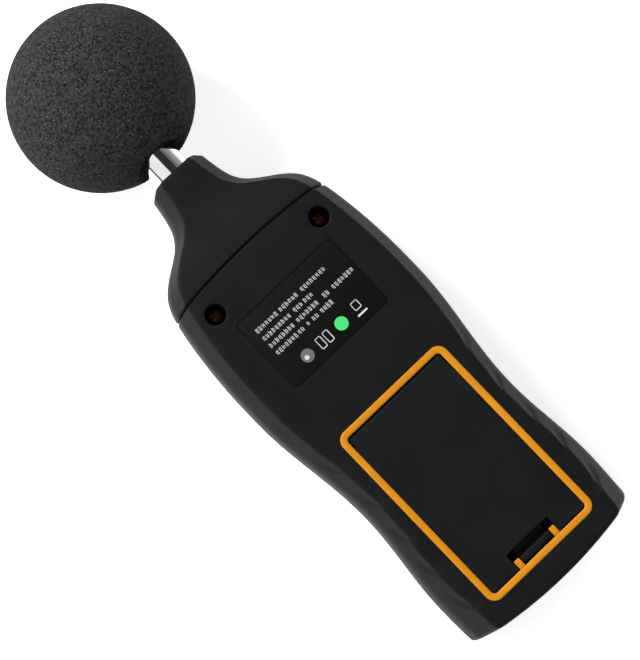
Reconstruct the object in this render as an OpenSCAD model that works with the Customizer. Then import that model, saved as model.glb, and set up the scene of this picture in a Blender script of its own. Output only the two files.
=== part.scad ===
// Handheld sound level meter with a foam windscreen.
// It lies face down: +Z is the back, +Y points to the microphone, +X is the back's right.
// The origin is under the middle of the object, on the plane that the windscreen touches.
// Lengths named "at" are distances from the tail, measured along the meter.

/* [Overall size] */
// Length from the tail to the tip of the windscreen
total_len = 232.5; // [230:0.5:236]
// Diameter of the foam windscreen
ball_d = 58.5; // [56:0.5:60]
// Width of the housing at its widest
body_w = 68.6; // [67.6:0.2:69.6]
// Width of the grip at its waist
waist_w = 60.8; // [60:0.2:62]
// Width of the grip near the tail
tail_w = 66; // [65:0.2:67]
// Thickness of the housing
body_t = 34; // [33.6:0.2:35]
// Width of the neck
neck_w = 21; // [20.6:0.2:22]

/* [Shell] */
// Wall thickness of the mouldings
wall = 2.2; // [2:0.1:2.4]
// Inset of the bevel along the edges of the back
bevel = 4.9; // [4.4:0.1:5.2]
// Radius of the arc across the tail
tail_r = 150; // [130:5:180]
// Radius of the arc where the neck cap meets the shells
seam_r = 215; // [190:5:260]

/* [Battery bay] */
// Outer width of the door frame
frame_w = 43.1; // [43:0.1:44]
// Outer length of the door frame
frame_len = 68.7; // [68.5:0.1:69.5]
// Width of the frame's band
frame_band = 2.25; // [2.1:0.05:2.4]

/* [Microphone] */
// Outer diameter of the microphone tube
mic_d = 12.7; // [12.6:0.1:12.8]

/* [Keypad] */
// Length of a button across the meter
button_w = 15; // [13:0.5:16]
// Length of a button along the meter
button_len = 8; // [7:0.5:9]
// Distance between the rows of buttons
button_pitch = 14; // [13:0.5:15]
// Travel of a button
button_travel = 0.8; // [0.5:0.1:0.8]

/* [Hidden] */

$fn = 48;
tiny = 0.01;
plastic = [0.13, 0.135, 0.14];
amber = [0.91, 0.58, 0.1];

// Heights
axis_z = ball_d / 2;
front_z = axis_z - 17.25;
back_z = front_z + body_t;
part_z = front_z + 15;
part_gap = 0.05;

// Places along the meter, from the tail
tail_at = 17.6;
waist_at = 53.2;
widest_at = 98;
narrowing_at = 102.5;
seam_at = 138.5;
shoulder_at = 150;
chamfer_at = 168.5;
neck_top_at = 170.1;
ball_at = total_len - ball_d / 2;
mic_tip_at = 203.9;
upper_screw_at = 129.3;
upper_screw_x = 21.6;
lower_screw_at = 16;
lower_screw_x = 14;
lcd_at = 105;
keypad_at = 62.5;
key_x = 13;
board_from = 24;
board_to = 124;
board_screw_at = [32.5, 84.6];
label_at = 109.45;

// The neck
neck_top = axis_z + 12.75;
neck_bottom = axis_z - 12.25;
neck_face = 8;
neck_fall = 0.9;

// The battery bay
frame_at = 8.4;
seat_w = frame_w - 2 * frame_band;
seat_from = frame_at + frame_band;
seat_to = frame_at + frame_len - frame_band;
seat_r = 1.3;
door_gap = 0.2;
door_w = seat_w - 2 * door_gap;
door_z = back_z - 1.8;
hinge_r = 1.6;
hinge_z = back_z - hinge_r;
hinge_at = seat_to - door_gap - hinge_r;
hinge_pin_r = 0.7;
hinge_w = door_w - 0.8;
notch_w = 17.1;
notch_len = 5.8;
collar_z = back_z - 3.8;
tray_from = 20.2;
tray_to = 74.6;
tray_z = 30.4;
tray_top = 42.4;
lead_x = -8.5;
lead_z = tray_z + 3;
cell_r = 5.25;
cell_len = 44.5;
cell_pitch = 11;
cell_z = tray_z + 1.2 + cell_r + 0.4;

// The electronics
board_z = front_z + 10;
board_t = 1.6;
mat_z = front_z + 5.1;
mic_r = mic_d / 2;

function at(t) = t - total_len / 2;
function mix(a, b, f) = a + (b - a) * f;
function ease(f) = (1 - cos(180 * min(1, max(0, f)))) / 2;

// 1 along the housing, falling smoothly to 0 along the neck
function housing_share(t) = 1 / (1 + exp((t - shoulder_at) / 2.9));

// Half width of the grip and of the display end, before the shoulder
function body_half(t) =
    t < tail_at ? tail_w / 2 - 0.0021 * pow(tail_at - t, 2)
    : t < waist_at ? mix(tail_w / 2, waist_w / 2, ease((t - tail_at) / (waist_at - tail_at)))
    : t < widest_at ? mix(waist_w / 2, body_w / 2, ease((t - waist_at) / (widest_at - waist_at)))
    : body_w / 2 - 0.0027 * pow(max(0, t - narrowing_at), 2);

// Half width of the neck, which flares towards the shoulder
function neck_half(t) = neck_w / 2 + 0.14 * max(0, chamfer_at - t);

// 1 up to the neck's chamfer, falling to 0 at the neck's top
function chamfer_share(t) = min(1, (neck_top_at - t) / (neck_top_at - chamfer_at));

function half_w(t) =
    let (s = housing_share(t), c = chamfer_share(t))
    mix(neck_face, mix(neck_half(t), body_half(t), s), c);

function height_share(t) = 1 - ease((t - 132.3) / 30);
function back_at(t) =
    mix(neck_top, back_z, height_share(t)) - neck_fall * (1 - chamfer_share(t));
function front_at(t) =
    mix(neck_bottom, front_z, height_share(t)) + neck_fall * (1 - chamfer_share(t));

// The bevel is wider towards the tail and narrower on the neck
function bevel_at(t) =
    bevel * (1.45 - 0.45 * ease(t / 40))
    * mix(0.5, mix(0.9, 1, housing_share(t)), chamfer_share(t));

// The right side of the back's section: [x, z] from the widest line up to the back
function back_side(t, inset) =
    let (w = half_w(t) - inset, z = back_at(t) - inset, b = bevel_at(t))
    [[w, part_z], [w - 0.12 * b, z - 1.75 * b], [w - 0.88 * b, z - 0.2 * b], [w - 1.08 * b, z]];

// The right side of the front's section: [x, z] from the front up to the widest line
function front_side(t, inset) =
    let (w = half_w(t) - inset, z = front_at(t) + inset, b = bevel_at(t))
    [[w - 1.1 * b, z], [w - 0.9 * b, z + 0.2 * b], [w - 0.1 * b, z + 1.5 * b], [w, part_z]];

function mirrored(side) = [for (i = [len(side) - 1 : -1 : 0]) [-side[i][0], side[i][1]]];
function ring(side, t) = [for (p = concat(side, mirrored(side))) [p[0], at(t), p[1]]];
function dropped(side, dz) = [for (p = side) [p[0], p[1] == part_z ? part_z + dz : p[1]]];
function stations(from, to, count) = [for (i = [0 : count]) mix(from, to, i / count)];

BODY_STATIONS = concat(stations(-1, 102, 18), stations(108, 146, 8));
NECK_STATIONS = concat([133], stations(136, 160, 12), [164, chamfer_at, neck_top_at]);

// A closed skin over a row of rings with equal numbers of points
module skin(rings) {
    n = len(rings[0]);
    m = len(rings);
    walls = [
        for (i = [0 : m - 2])
            for (j = [0 : n - 1])
                let (a = i * n + j, b = i * n + (j + 1) % n)
                    each [[a, b, a + n], [b, b + n, a + n]]
    ];
    first = [for (j = [n - 1 : -1 : 0]) j];
    last = [for (j = [0 : n - 1]) (m - 1) * n + j];
    polyhedron(points = [for (r = rings) each r], faces = concat([first], walls, [last]));
}

// The solid inside the tail's arc, less a margin
module tail_limit(margin) {
    translate([0, at(tail_r), 0])
        cylinder(r = tail_r - margin, h = 3 * ball_d, center = true, $fn = 360);
}

// The solid on the tail's side of the seam's arc
module seam_limit(margin) {
    translate([0, at(seam_at - seam_r), 0])
        cylinder(r = seam_r - margin, h = 3 * ball_d, center = true, $fn = 360);
}

// A rounded rectangle made of plain squares and circles, so that its edges stay true
module plate(w, len, r) {
    square([w - 2 * r, len], center = true);
    square([w, len - 2 * r], center = true);
    for (x = [-1, 1], y = [-1, 1])
        translate([x * (w / 2 - r), y * (len / 2 - r)])
            circle(r = r);
}

// A slab with rounded corners, centred across the meter
module slab(w, from, to, z0, z1, r = 1) {
    translate([0, at((from + to) / 2), z0])
        linear_extrude(z1 - z0)
            plate(w, to - from, r);
}

// A box given by its half width and its ends
module box(half, from, to, z0, z1) {
    translate([-half, at(from), z0])
        cube([2 * half, to - from, z1 - z0]);
}

// An upright rod or hole
module post(x, t, r, z0, z1) {
    translate([x, at(t), z0])
        cylinder(r = r, h = z1 - z0);
}

// A rod or hole along the meter
module rod(t0, t1, r, x = 0, z = axis_z) {
    translate([x, at(t0), z])
        rotate([-90, 0, 0])
            cylinder(r = r, h = t1 - t0);
}

// A round wire swept along points
module wire(route, r, sides = 8) {
    count = len(route);
    rings = [
        for (i = [0 : count - 1])
            let (
                a = route[max(0, i - 1)],
                b = route[min(count - 1, i + 1)],
                d = (b - a) / norm(b - a),
                flat = cross(d, [0.31, 0.17, 0.93]),
                u = flat / norm(flat),
                v = cross(d, u)
            )
            [for (k = [0 : sides - 1])
                route[i] + r * (cos(360 * k / sides) * u + sin(360 * k / sides) * v)]
    ];
    skin(rings);
}

// ---- Housing ----

module upper_screw_places() {
    for (side = [-1, 1])
        translate([side * upper_screw_x, at(upper_screw_at), 0])
            children();
}

module lower_screw_places() {
    for (side = [-1, 1])
        translate([side * lower_screw_x, at(lower_screw_at), 0])
            children();
}

module board_screw_places() {
    for (side = [-1, 1], t = board_screw_at)
        translate([side * 22, at(t), 0])
            children();
}

module button_places() {
    for (side = [-1, 1], row = [-1 : 1])
        translate([side * key_x, at(keypad_at + row * button_pitch), 0])
            children();
}

module front_shell() {
    color(plastic) {
        difference() {
            intersection() {
                skin([for (t = BODY_STATIONS) ring(dropped(front_side(t, 0), -part_gap), t)]);
                tail_limit(0);
                seam_limit(0);
            }
            intersection() {
                skin([for (t = BODY_STATIONS) ring(dropped(front_side(t, wall), 1), t)]);
                tail_limit(wall);
            }
            slab(50.4, lcd_at - 17.2, lcd_at + 17.2, front_z - 1, front_z + 1.45, 2);
            slab(46, lcd_at - 15, lcd_at + 15, front_z - 1, front_z + wall + 1, 1.5);
            button_places()
                translate([0, 0, front_z - 1])
                    linear_extrude(wall + 2)
                        plate(button_w + 0.6, button_len + 0.6, button_len / 2);
        }
        upper_screw_places()
            case_post(3.8, front_z + wall - 0.5, 30);
        lower_screw_places()
            case_post(3.5, front_z + wall - 0.5, 36.9);
        board_screw_places()
            difference() {
                translate([0, 0, front_z + wall - 0.5])
                    cylinder(r = 2.2, h = board_z - 0.1 - front_z - wall + 0.5);
                translate([0, 0, board_z - 6])
                    cylinder(r = 1, h = 7);
            }
    }
}

// A hollow post that a case screw bites into
module case_post(r, z0, z1) {
    difference() {
        translate([0, 0, z0])
            cylinder(r = r, h = z1 - z0);
        translate([0, 0, z1 - 13])
            cylinder(r = 1.45, h = 14);
    }
}

module rear_cover() {
    color(plastic) {
        difference() {
            union() {
                difference() {
                    intersection() {
                        skin([for (t = BODY_STATIONS) ring(dropped(back_side(t, 0), part_gap), t)]);
                        tail_limit(0);
                        seam_limit(0);
                    }
                    intersection() {
                        skin([for (t = BODY_STATIONS) ring(dropped(back_side(t, wall), -1), t)]);
                        tail_limit(wall);
                    }
                }
                box(frame_w / 2 + 1.2, frame_at - 1.2, frame_at + frame_len + 1.2, collar_z, back_z - 1);
                box(seat_w / 2 + 0.2, 9.4, tray_from - 0.2, 37, collar_z + 0.5);
                upper_screw_places()
                    translate([0, 0, 33.2])
                        cylinder(r = 4.7, h = back_z - 1 - 33.2);
            }
            door_opening();
            slab(39.1, label_at - 13.25, label_at + 13.25, back_z - 0.3, back_z + 1, 1.6);
            upper_screw_places() {
                translate([0, 0, 38])
                    cylinder(r = 3.25, h = 10);
                translate([0, 0, 32])
                    cylinder(r = 1.6, h = 7);
            }
            lower_screw_places()
                translate([0, 0, 36])
                    cylinder(r = 1.6, h = 4);
        }
    }
}

// The space for the frame, the door, its hinge and its catch
module door_opening() {
    slab(frame_w + 0.1, frame_at - 0.05, frame_at + frame_len + 0.05, back_z - 0.85, back_z + 1, 3.5);
    slab(seat_w, seat_from, seat_to, door_z - 0.1, back_z + 1, seat_r);
    box(18.4, 12.6, seat_to, collar_z - 1, back_z);
    box(6.4, seat_from + 0.05, 14, collar_z - 1, back_z);
    box(18.4, seat_from + 0.05, tray_from, 38.5, collar_z + tiny);
    translate([0, at(hinge_at), hinge_z])
        rotate([0, 90, 0]) {
            cylinder(r = hinge_r + 0.2, h = seat_w, center = true);
            cylinder(r = hinge_pin_r + 0.05, h = seat_w + 3, center = true);
        }
}

module neck_cap() {
    color(plastic)
        difference() {
            union() {
                difference() {
                    skin([for (t = NECK_STATIONS) neck_ring(t, 0)]);
                    skin([for (t = concat([132], stations(136, 156.5, 9))) neck_ring(t, wall)]);
                }
                for (side = [-1, 1])
                    translate([side * upper_screw_x - 4.6, at(upper_screw_at), 30.2])
                        cube([9.2, 14, 2.8]);
                for (side = [-1, 1])
                    post(side * upper_screw_x, upper_screw_at, 4.6, 30.2, 33);
            }
            neck_seam_cut();
            for (side = [-1, 1])
                post(side * upper_screw_x, upper_screw_at, 1.6, 30, 34);
            rod(155.5, 166.5, mic_r + 1.95);
            rod(165.5, 171.5, mic_r + 0.35);
        }
}

// Everything on the shells' side of the seam, apart from the cap's two ears
module neck_seam_cut() {
    difference() {
        seam_limit(-0.15);
        box(27.2, 120, 148, 30.1, 33.1);
    }
}

function neck_ring(t, inset) =
    let (low = front_side(t, inset), high = back_side(t, inset))
    ring(concat(low, [for (i = [1 : len(high) - 1]) high[i]]), t);

// ---- Battery bay ----

module door_frame() {
    color(amber)
        difference() {
            union() {
                slab(frame_w, frame_at, frame_at + frame_len, back_z - 0.8, back_z + 0.3, 3.5);
                for (side = [-1, 1])
                    translate([side * 7.2 - 1.1, at(seat_from - 0.5), back_z - 1.6])
                        cube([2.2, 3.4, 1.2]);
            }
            difference() {
                slab(seat_w, seat_from, seat_to, back_z - 2, back_z + 1, seat_r);
                for (side = [-1, 1])
                    translate([side * 7.2 - 1.1, at(seat_from - 1), back_z - 1.6])
                        cube([2.2, 3.9, 1.2]);
            }
            slab(frame_w + 1, frame_at - 1, seat_from, back_z - 2, back_z - 0.8, 0.4);
        }
}

module battery_door() {
    color(plastic)
        difference() {
            union() {
                slab(door_w, seat_from + door_gap, hinge_at - 1.8, door_z, back_z, seat_r - door_gap);
                box(hinge_w / 2, hinge_at - 4, hinge_at, door_z, back_z);
                translate([0, at(hinge_at), hinge_z])
                    rotate([0, 90, 0]) {
                        cylinder(r = hinge_r, h = hinge_w, center = true);
                        cylinder(r = hinge_pin_r, h = door_w + 2.6, center = true);
                    }
            }
            box(notch_w / 2, seat_from - 1, seat_from + door_gap + notch_len, door_z - 1, back_z + 1);
        }
}

// A springy U: its outer leg ends in the finger tongue
module battery_latch() {
    leg = 1.2;
    outer = seat_from + 0.55;
    inner = outer + 4;
    color(plastic) {
        box(5.7, outer, outer + leg, collar_z - 0.6, back_z - 0.8);
        box(5.7, outer, outer + 2.3, back_z - 1.4, back_z - 0.3);
        box(5.7, inner, inner + leg, collar_z - 0.6, back_z - 2.4);
        box(5.7, outer, inner + leg, collar_z - 1.8, collar_z - 0.6);
    }
}

module battery_tray() {
    color([0.12, 0.12, 0.13]) {
        difference() {
            box(18.2, tray_from, tray_to, tray_z, tray_top);
            box(16.9, tray_from + 1.3, tray_to - 1.3, tray_z + 1.2, tray_top + 1);
            rod(tray_to - 4, tray_to + 4, 1.2, x = lead_x, z = lead_z);
            rod(tray_from - 2, tray_from + 4, 1.2, x = lead_x, z = lead_z);
            box(18.3, hinge_at - 2, tray_to + 1, hinge_z - hinge_r - 0.4, tray_top + 1);
        }
        for (side = [-1, 1])
            translate([side * cell_pitch / 2 - 0.2, at(tray_from + 8), tray_z + 1.1])
                cube([0.4, 38, 4]);
    }
}

// One AAA cell; its button end points along the turn
module cell(x, from, reversed) {
    body_len = cell_len - 0.9;
    color([0.2, 0.45, 0.3])
        translate([x, at(from + cell_len / 2), cell_z])
            rotate([reversed ? 90 : -90, 0, 0])
                translate([0, 0, -cell_len / 2])
                    rotate_extrude()
                        polygon([
                            [0, 0], [4.2, 0], [cell_r, 0.5], [cell_r, body_len - 0.5],
                            [4.4, body_len], [1.9, body_len], [1.9, cell_len], [0, cell_len],
                        ]);
}

module battery_cell_1() {
    cell(-cell_pitch, 27.6, false);
}

module battery_cell_2() {
    cell(0, 22.6, true);
}

module battery_cell_3() {
    cell(cell_pitch, 27.6, false);
}

// A conical coil spring along the meter, widest at its start
module coil(x, from, len, turns = 4) {
    steps = 10 * turns;
    toward = sign(len);
    color("silver")
        wire([
            for (i = [0 : steps])
                let (f = i / steps, r = mix(4, 2.6, f))
                [x + r * cos(360 * turns * f), at(from + 0.5 * toward + (len - toward) * f),
                    cell_z + r * sin(360 * turns * f)]
        ], 0.35, 6);
}

module contact_springs() {
    coil(-cell_pitch, 22.1, 5.3);
    coil(0, 72.7, -5.4);
    coil(cell_pitch, 22.1, 5.3);
}

module contact_plates() {
    color("silver") {
        for (x = [-cell_pitch, 0, cell_pitch]) {
            translate([x - 4.5, at(tray_from + 1.4), cell_z - 4.6])
                cube([9, 0.4, 8.6]);
            translate([x - 4.5, at(tray_to - 1.8), cell_z - 4.6])
                cube([9, 0.4, 8.6]);
        }
    }
}

// A lead in the plane of lead_x, along [place from the tail, z] points
module lead(route) {
    wire([for (p = route) [lead_x, at(p[0]), p[1]]], 0.6);
}

module battery_leads() {
    end_z = board_z + board_t + 0.2;
    color("firebrick")
        lead([[75, lead_z], [75.8, lead_z - 0.4], [76.4, lead_z - 2], [76.6, lead_z - 5], [76.6, end_z]]);
    color("black")
        lead([
            [19.9, lead_z], [19.2, lead_z - 0.4], [18.8, lead_z - 1.6], [19.2, lead_z - 3.4],
            [21, lead_z - 5], [24, lead_z - 6.4], [26.2, lead_z - 7.6], [27, end_z],
        ]);
}

module rating_label() {
    color([0.05, 0.05, 0.05])
        slab(38.7, label_at - 13.05, label_at + 13.05, back_z - 0.28, back_z - 0.03, 1.4);
}

// ---- Fasteners ----

// A cross-head screw; its head's underside is at z
module screw(head_r, head_h, shank_r, len, z) {
    color([0.45, 0.25, 0.16])
        difference() {
            union() {
                translate([0, 0, z])
                    cylinder(r = head_r, h = head_h);
                translate([0, 0, z - len])
                    cylinder(r = shank_r, h = len + tiny);
            }
            translate([0, 0, z + head_h - 0.9]) {
                translate([-head_r * 0.6, -0.35, 0])
                    cube([head_r * 1.2, 0.7, 2]);
                translate([-0.35, -head_r * 0.6, 0])
                    cube([0.7, head_r * 1.2, 2]);
            }
        }
}

module upper_case_screws() {
    upper_screw_places()
        screw(2.75, 1.9, 1.35, 20, 38.02);
}

module lower_case_screws() {
    lower_screw_places()
        screw(2.75, 1.9, 1.35, 14, 38.52);
}

module board_screws() {
    board_screw_places()
        screw(2, 1.3, 0.93, 6, board_z + board_t + 0.02);
}

// ---- Microphone ----

module windscreen() {
    color([0.2, 0.2, 0.21])
        difference() {
            translate([0, at(ball_at), axis_z])
                rotate([90, 0, 0])
                    sphere(r = ball_d / 2, $fn = 96);
            rod(ball_at - ball_d, ball_at + 2, mic_r + 0.05);
        }
}

module mic_tube() {
    color([0.85, 0.86, 0.88])
        difference() {
            rod(150.5, mic_tip_at - 2.4, mic_r);
            rod(150, mic_tip_at - 2, mic_r - 0.6);
        }
}

module mic_grille() {
    color([0.75, 0.76, 0.78])
        difference() {
            rod(mic_tip_at - 2.35, mic_tip_at, mic_r);
            rod(mic_tip_at - 2.4, mic_tip_at - 0.6, mic_r - 0.7);
            for (a = [0 : 60 : 300])
                translate([0, at(mic_tip_at + 0.6), axis_z])
                    rotate([90, a, 0])
                        translate([1.6, -0.35, -1])
                            cube([3, 0.7, 4]);
        }
}

module mic_capsule() {
    color("silver") {
        rod(mic_tip_at - 8.4, mic_tip_at - 0.8, mic_r - 0.75);
        rod(mic_tip_at - 10.9, mic_tip_at - 8.2, 2.5);
    }
}

module mic_grommet() {
    color([0.1, 0.1, 0.1])
        difference() {
            rod(157.5, 166.4, mic_r + 1.9);
            rod(157, 167, mic_r + 0.05);
        }
}

// The screened lead from the capsule to the board
module mic_lead() {
    color([0.3, 0.3, 0.3])
        wire([
            [0, at(192.8), axis_z], [0, at(183), axis_z], [0, at(163), axis_z],
            [0, at(150), axis_z], [0, at(142), axis_z - 0.6], [0, at(134), axis_z - 2],
            [0, at(128), axis_z - 3.4], [0, at(124), axis_z - 4.4], [0, at(121), axis_z - 4.6],
        ], 0.9);
}

// ---- Display ----

module lcd_window() {
    color([0.6, 0.65, 0.65, 0.4])
        slab(50, lcd_at - 17, lcd_at + 17, front_z, front_z + 1.4, 1.9);
}

module lcd_panel() {
    color([0.55, 0.6, 0.5])
        slab(47, lcd_at - 18, lcd_at + 18, front_z + 2.5, front_z + 5, 0.5);
}

module lcd_backlight() {
    color([0.9, 0.9, 0.85])
        slab(47, lcd_at - 14.6, lcd_at + 14.6, front_z + 5.1, front_z + 7.6, 0.5);
}

module lcd_connectors() {
    color([0.25, 0.3, 0.4])
        for (side = [-1, 1])
            translate([-20, at(lcd_at + side * 16.5 - 1.1), front_z + 5.1])
                cube([40, 2.2, board_z - front_z - 5.2]);
}

// ---- Keypad ----

module button(side, row, tint) {
    color(tint)
        translate([side * key_x, at(keypad_at + row * button_pitch), 0]) {
            translate([0, 0, front_z - 1])
                linear_extrude(wall + 1.5)
                    plate(button_w, button_len, button_len / 2 - 0.1);
            translate([0, 0, front_z + wall + 0.2])
                linear_extrude(0.8)
                    plate(button_w + 2, button_len + 2, 2);
            translate([0, 0, front_z + wall + 0.9])
                cylinder(r = 2, h = mat_z - button_travel - 0.1 - front_z - wall - 0.9);
        }
}

module power_button() {
    button(-1, 1, [0.75, 0.3, 0.12]);
}

module hold_button() {
    button(1, 1, [0.35, 0.36, 0.38]);
}

module range_button() {
    button(-1, 0, [0.35, 0.36, 0.38]);
}

module weighting_button() {
    button(1, 0, [0.35, 0.36, 0.38]);
}

module speed_button() {
    button(-1, -1, [0.35, 0.36, 0.38]);
}

module light_button() {
    button(1, -1, [0.35, 0.36, 0.38]);
}

module keypad_mat() {
    color([0.6, 0.6, 0.62]) {
        slab(46, keypad_at - 20.5, keypad_at + 19.7, mat_z, mat_z + 1, 2);
        button_places()
            translate([0, 0, mat_z + 0.9])
                cylinder(r = 2.2, h = board_z - 0.15 - mat_z - 0.9);
    }
}

// ---- Electronics ----

module main_board() {
    color([0.1, 0.35, 0.2])
        difference() {
            slab(52, board_from, board_to, board_z, board_z + board_t, 2);
            board_screw_places()
                translate([0, 0, board_z - 1])
                    cylinder(r = 1.15, h = 4);
        }
}

module board_chips() {
    top = board_z + board_t + 0.02;
    color([0.08, 0.08, 0.09]) {
        slab(12, 58, 70, top, top + 1.4, 0.3);
        slab(8, 80, 86, top, top + 1.4, 0.3);
    }
    color([0.2, 0.3, 0.6])
        for (x = [-9, 9])
            post(x, 46, 2, top, top + 4);
}

module preamp_shield() {
    color("silver")
        difference() {
            slab(20, 96, 118, board_z + board_t + 0.02, board_z + board_t + 4.5, 0.5);
            slab(19, 96.5, 117.5, board_z + board_t - 1, board_z + board_t + 4, 0.4);
        }
}

front_shell();
rear_cover();
neck_cap();
door_frame();
battery_door();
battery_latch();
rating_label();
upper_case_screws();
lower_case_screws();
windscreen();
mic_tube();
mic_grille();
mic_capsule();
mic_grommet();
mic_lead();
lcd_window();
lcd_panel();
lcd_backlight();
lcd_connectors();
power_button();
hold_button();
range_button();
weighting_button();
speed_button();
light_button();
keypad_mat();
main_board();
board_screws();
board_chips();
preamp_shield();
battery_tray();
battery_cell_1();
battery_cell_2();
battery_cell_3();
contact_springs();
contact_plates();
battery_leads();
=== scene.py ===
"""Handheld sound level meter: the finished pieces, materials and studio around the CAD frame."""

import math

import bmesh
import bpy
import numpy as np
from mathutils import Matrix, Vector, noise


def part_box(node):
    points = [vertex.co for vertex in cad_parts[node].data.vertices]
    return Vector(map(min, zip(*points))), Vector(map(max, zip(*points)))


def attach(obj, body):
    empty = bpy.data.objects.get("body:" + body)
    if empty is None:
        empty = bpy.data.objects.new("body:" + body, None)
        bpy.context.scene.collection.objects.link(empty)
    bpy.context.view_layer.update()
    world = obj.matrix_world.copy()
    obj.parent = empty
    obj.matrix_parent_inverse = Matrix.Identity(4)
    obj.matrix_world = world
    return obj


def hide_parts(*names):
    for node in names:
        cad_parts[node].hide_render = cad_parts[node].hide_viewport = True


bl_info = {
    "name": "Sound level meter",
    "version": (1, 0, 0),
    "blender": (4, 5, 0),
    "location": "View3D > Sidebar > Sound meter",
    "description": "Builds a handheld sound level meter with a foam windscreen",
    "category": "Object",
}

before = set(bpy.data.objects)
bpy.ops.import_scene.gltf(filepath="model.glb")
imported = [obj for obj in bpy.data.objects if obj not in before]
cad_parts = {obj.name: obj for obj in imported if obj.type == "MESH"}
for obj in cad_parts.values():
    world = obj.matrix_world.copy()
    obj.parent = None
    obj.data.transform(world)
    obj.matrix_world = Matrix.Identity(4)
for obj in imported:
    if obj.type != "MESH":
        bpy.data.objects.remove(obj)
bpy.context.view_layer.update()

MM = 0.001


class Box:
    """A CAD node's box at rest, in millimetres."""

    def __init__(self, node):
        low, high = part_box(node)
        self.low, self.high = np.array(low) / MM, np.array(high) / MM
        self.size, self.mid = self.high - self.low, (self.low + self.high) / 2


COVER, TUBE, BALL = Box("rear_cover"), Box("mic_tube"), Box("windscreen")
FRAME, DOOR, LABEL = Box("door_frame"), Box("battery_door"), Box("rating_label")
WINDOW, LCD = Box("lcd_window"), Box("lcd_panel")

# Heights and places that the CAD gives, in millimetres
HALF_GAP = 0.05  # from each shell to the parting line
TAIL_Y, BODY_HALF = COVER.low[1], COVER.high[0]
BACK_Z, PART_Z = COVER.high[2], COVER.low[2] - HALF_GAP
FRONT_Z = Box("front_shell").low[2]
NECK_TOP_AT = Box("neck_cap").high[1] - TAIL_Y
AXIS_Z, TUBE_R = TUBE.mid[2], TUBE.size[2] / 2
BALL_R = AXIS_Z - BALL.low[2]
BALL_AT = BALL.high[1] - BALL_R - TAIL_Y

KEYS = ("power", "hold", "range", "weighting", "speed", "light")


class MeterSettings(bpy.types.PropertyGroup):
    """Sizes and colours of the meter."""

    waist_width: bpy.props.FloatProperty(
        name="Waist width", description="Width of the grip at its waist",
        default=0.0606, min=0.06, max=0.062, unit="LENGTH")
    tail_width: bpy.props.FloatProperty(
        name="Tail width", description="Width of the grip near the tail",
        default=0.0659, min=0.065, max=0.067, unit="LENGTH")
    neck_width: bpy.props.FloatProperty(
        name="Neck width", description="Width of the neck",
        default=0.0209, min=0.02, max=0.022, unit="LENGTH")
    bevel: bpy.props.FloatProperty(
        name="Bevel", description="Inset of the bevel along the back's edges",
        default=0.0049, min=0.0044, max=0.0052, unit="LENGTH")
    wall: bpy.props.FloatProperty(
        name="Wall", description="Thickness of the mouldings",
        default=0.0022, min=0.002, max=0.0024, unit="LENGTH")
    scallop_depth: bpy.props.FloatProperty(
        name="Scallop depth", description="Depth of the finger scallops on the sides",
        default=0.0005, min=0.0, max=0.001, unit="LENGTH")
    plastic_color: bpy.props.FloatVectorProperty(
        name="Plastic", description="Colour of the mouldings", subtype="COLOR",
        default=(0.0086, 0.0091, 0.0094), min=0.0, max=1.0)
    amber_color: bpy.props.FloatVectorProperty(
        name="Amber", description="Colour of the battery door's frame", subtype="COLOR",
        default=(0.58, 0.22, 0.006), min=0.0, max=1.0)
    foam_color: bpy.props.FloatVectorProperty(
        name="Foam", description="Colour of the windscreen", subtype="COLOR",
        default=(0.0138, 0.014, 0.0133), min=0.0, max=1.0)


def settings():
    return bpy.context.scene.meter_settings


# ---------------------------------------------------------------- mesh helpers


def at(t):
    """The Y of a place t millimetres from the tail."""
    return TAIL_Y + t


def mix(a, b, f):
    return a + (b - a) * f


def ease(f):
    return (1 - np.cos(np.pi * np.clip(f, 0, 1))) / 2


def smooth(low, high, x):
    f = np.clip((x - low) / (high - low), 0, 1)
    return f * f * (3 - 2 * f)


def bezier(p0, p1, p2, count):
    """Points of a quadratic curve, without its first one."""
    f = np.linspace(0, 1, count + 1)[1:, None]
    return (1 - f) ** 2 * np.array(p0) + 2 * f * (1 - f) * np.array(p1) + f**2 * np.array(p2)


def add_object(name, data):
    obj = bpy.data.objects.new(name, data)
    bpy.context.scene.collection.objects.link(obj)
    return obj


def mesh_object(name, points_mm, faces, sharp_deg=32.0, merge_mm=0.001):
    """A mesh from points in millimetres, merged, turned outwards and shaded by angle."""
    mesh = bpy.data.meshes.new(name)
    mesh.from_pydata([tuple(p) for p in np.asarray(points_mm, float) * MM], [], faces)
    obj = add_object(name, mesh)
    tidy_mesh(obj, sharp_deg, merge_mm)
    return obj


def tidy_mesh(obj, sharp_deg=32.0, merge_mm=0.001, recalc=True):
    """Merges double points, turns the faces outwards and marks the sharp edges."""
    bm = bmesh.new()
    bm.from_mesh(obj.data)
    bmesh.ops.remove_doubles(bm, verts=bm.verts, dist=merge_mm * MM)
    bmesh.ops.dissolve_degenerate(bm, edges=bm.edges, dist=merge_mm * MM * 0.1)
    if recalc:
        bmesh.ops.recalc_face_normals(bm, faces=bm.faces)
    limit = math.radians(sharp_deg)
    for face in bm.faces:
        face.smooth = True
    for edge in bm.edges:
        edge.smooth = len(edge.link_faces) == 2 and edge.calc_face_angle(0.0) < limit
    bm.to_mesh(obj.data)
    bm.free()
    obj.data.update()


def grid_faces(rows, cols, start=0, closed=False, ring=False, flip=False):
    """Quads over rows of points; closed joins each row's end to its start, and ring joins the
    last row to the first."""
    faces = []
    for i in range(rows if ring else rows - 1):
        step = cols if i < rows - 1 else -i * cols
        for k in range(cols if closed else cols - 1):
            a, b = start + i * cols + k, start + i * cols + (k + 1) % cols
            quad = (a, b, b + step, a + step)
            faces.append(quad[::-1] if flip else quad)
    return faces


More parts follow.
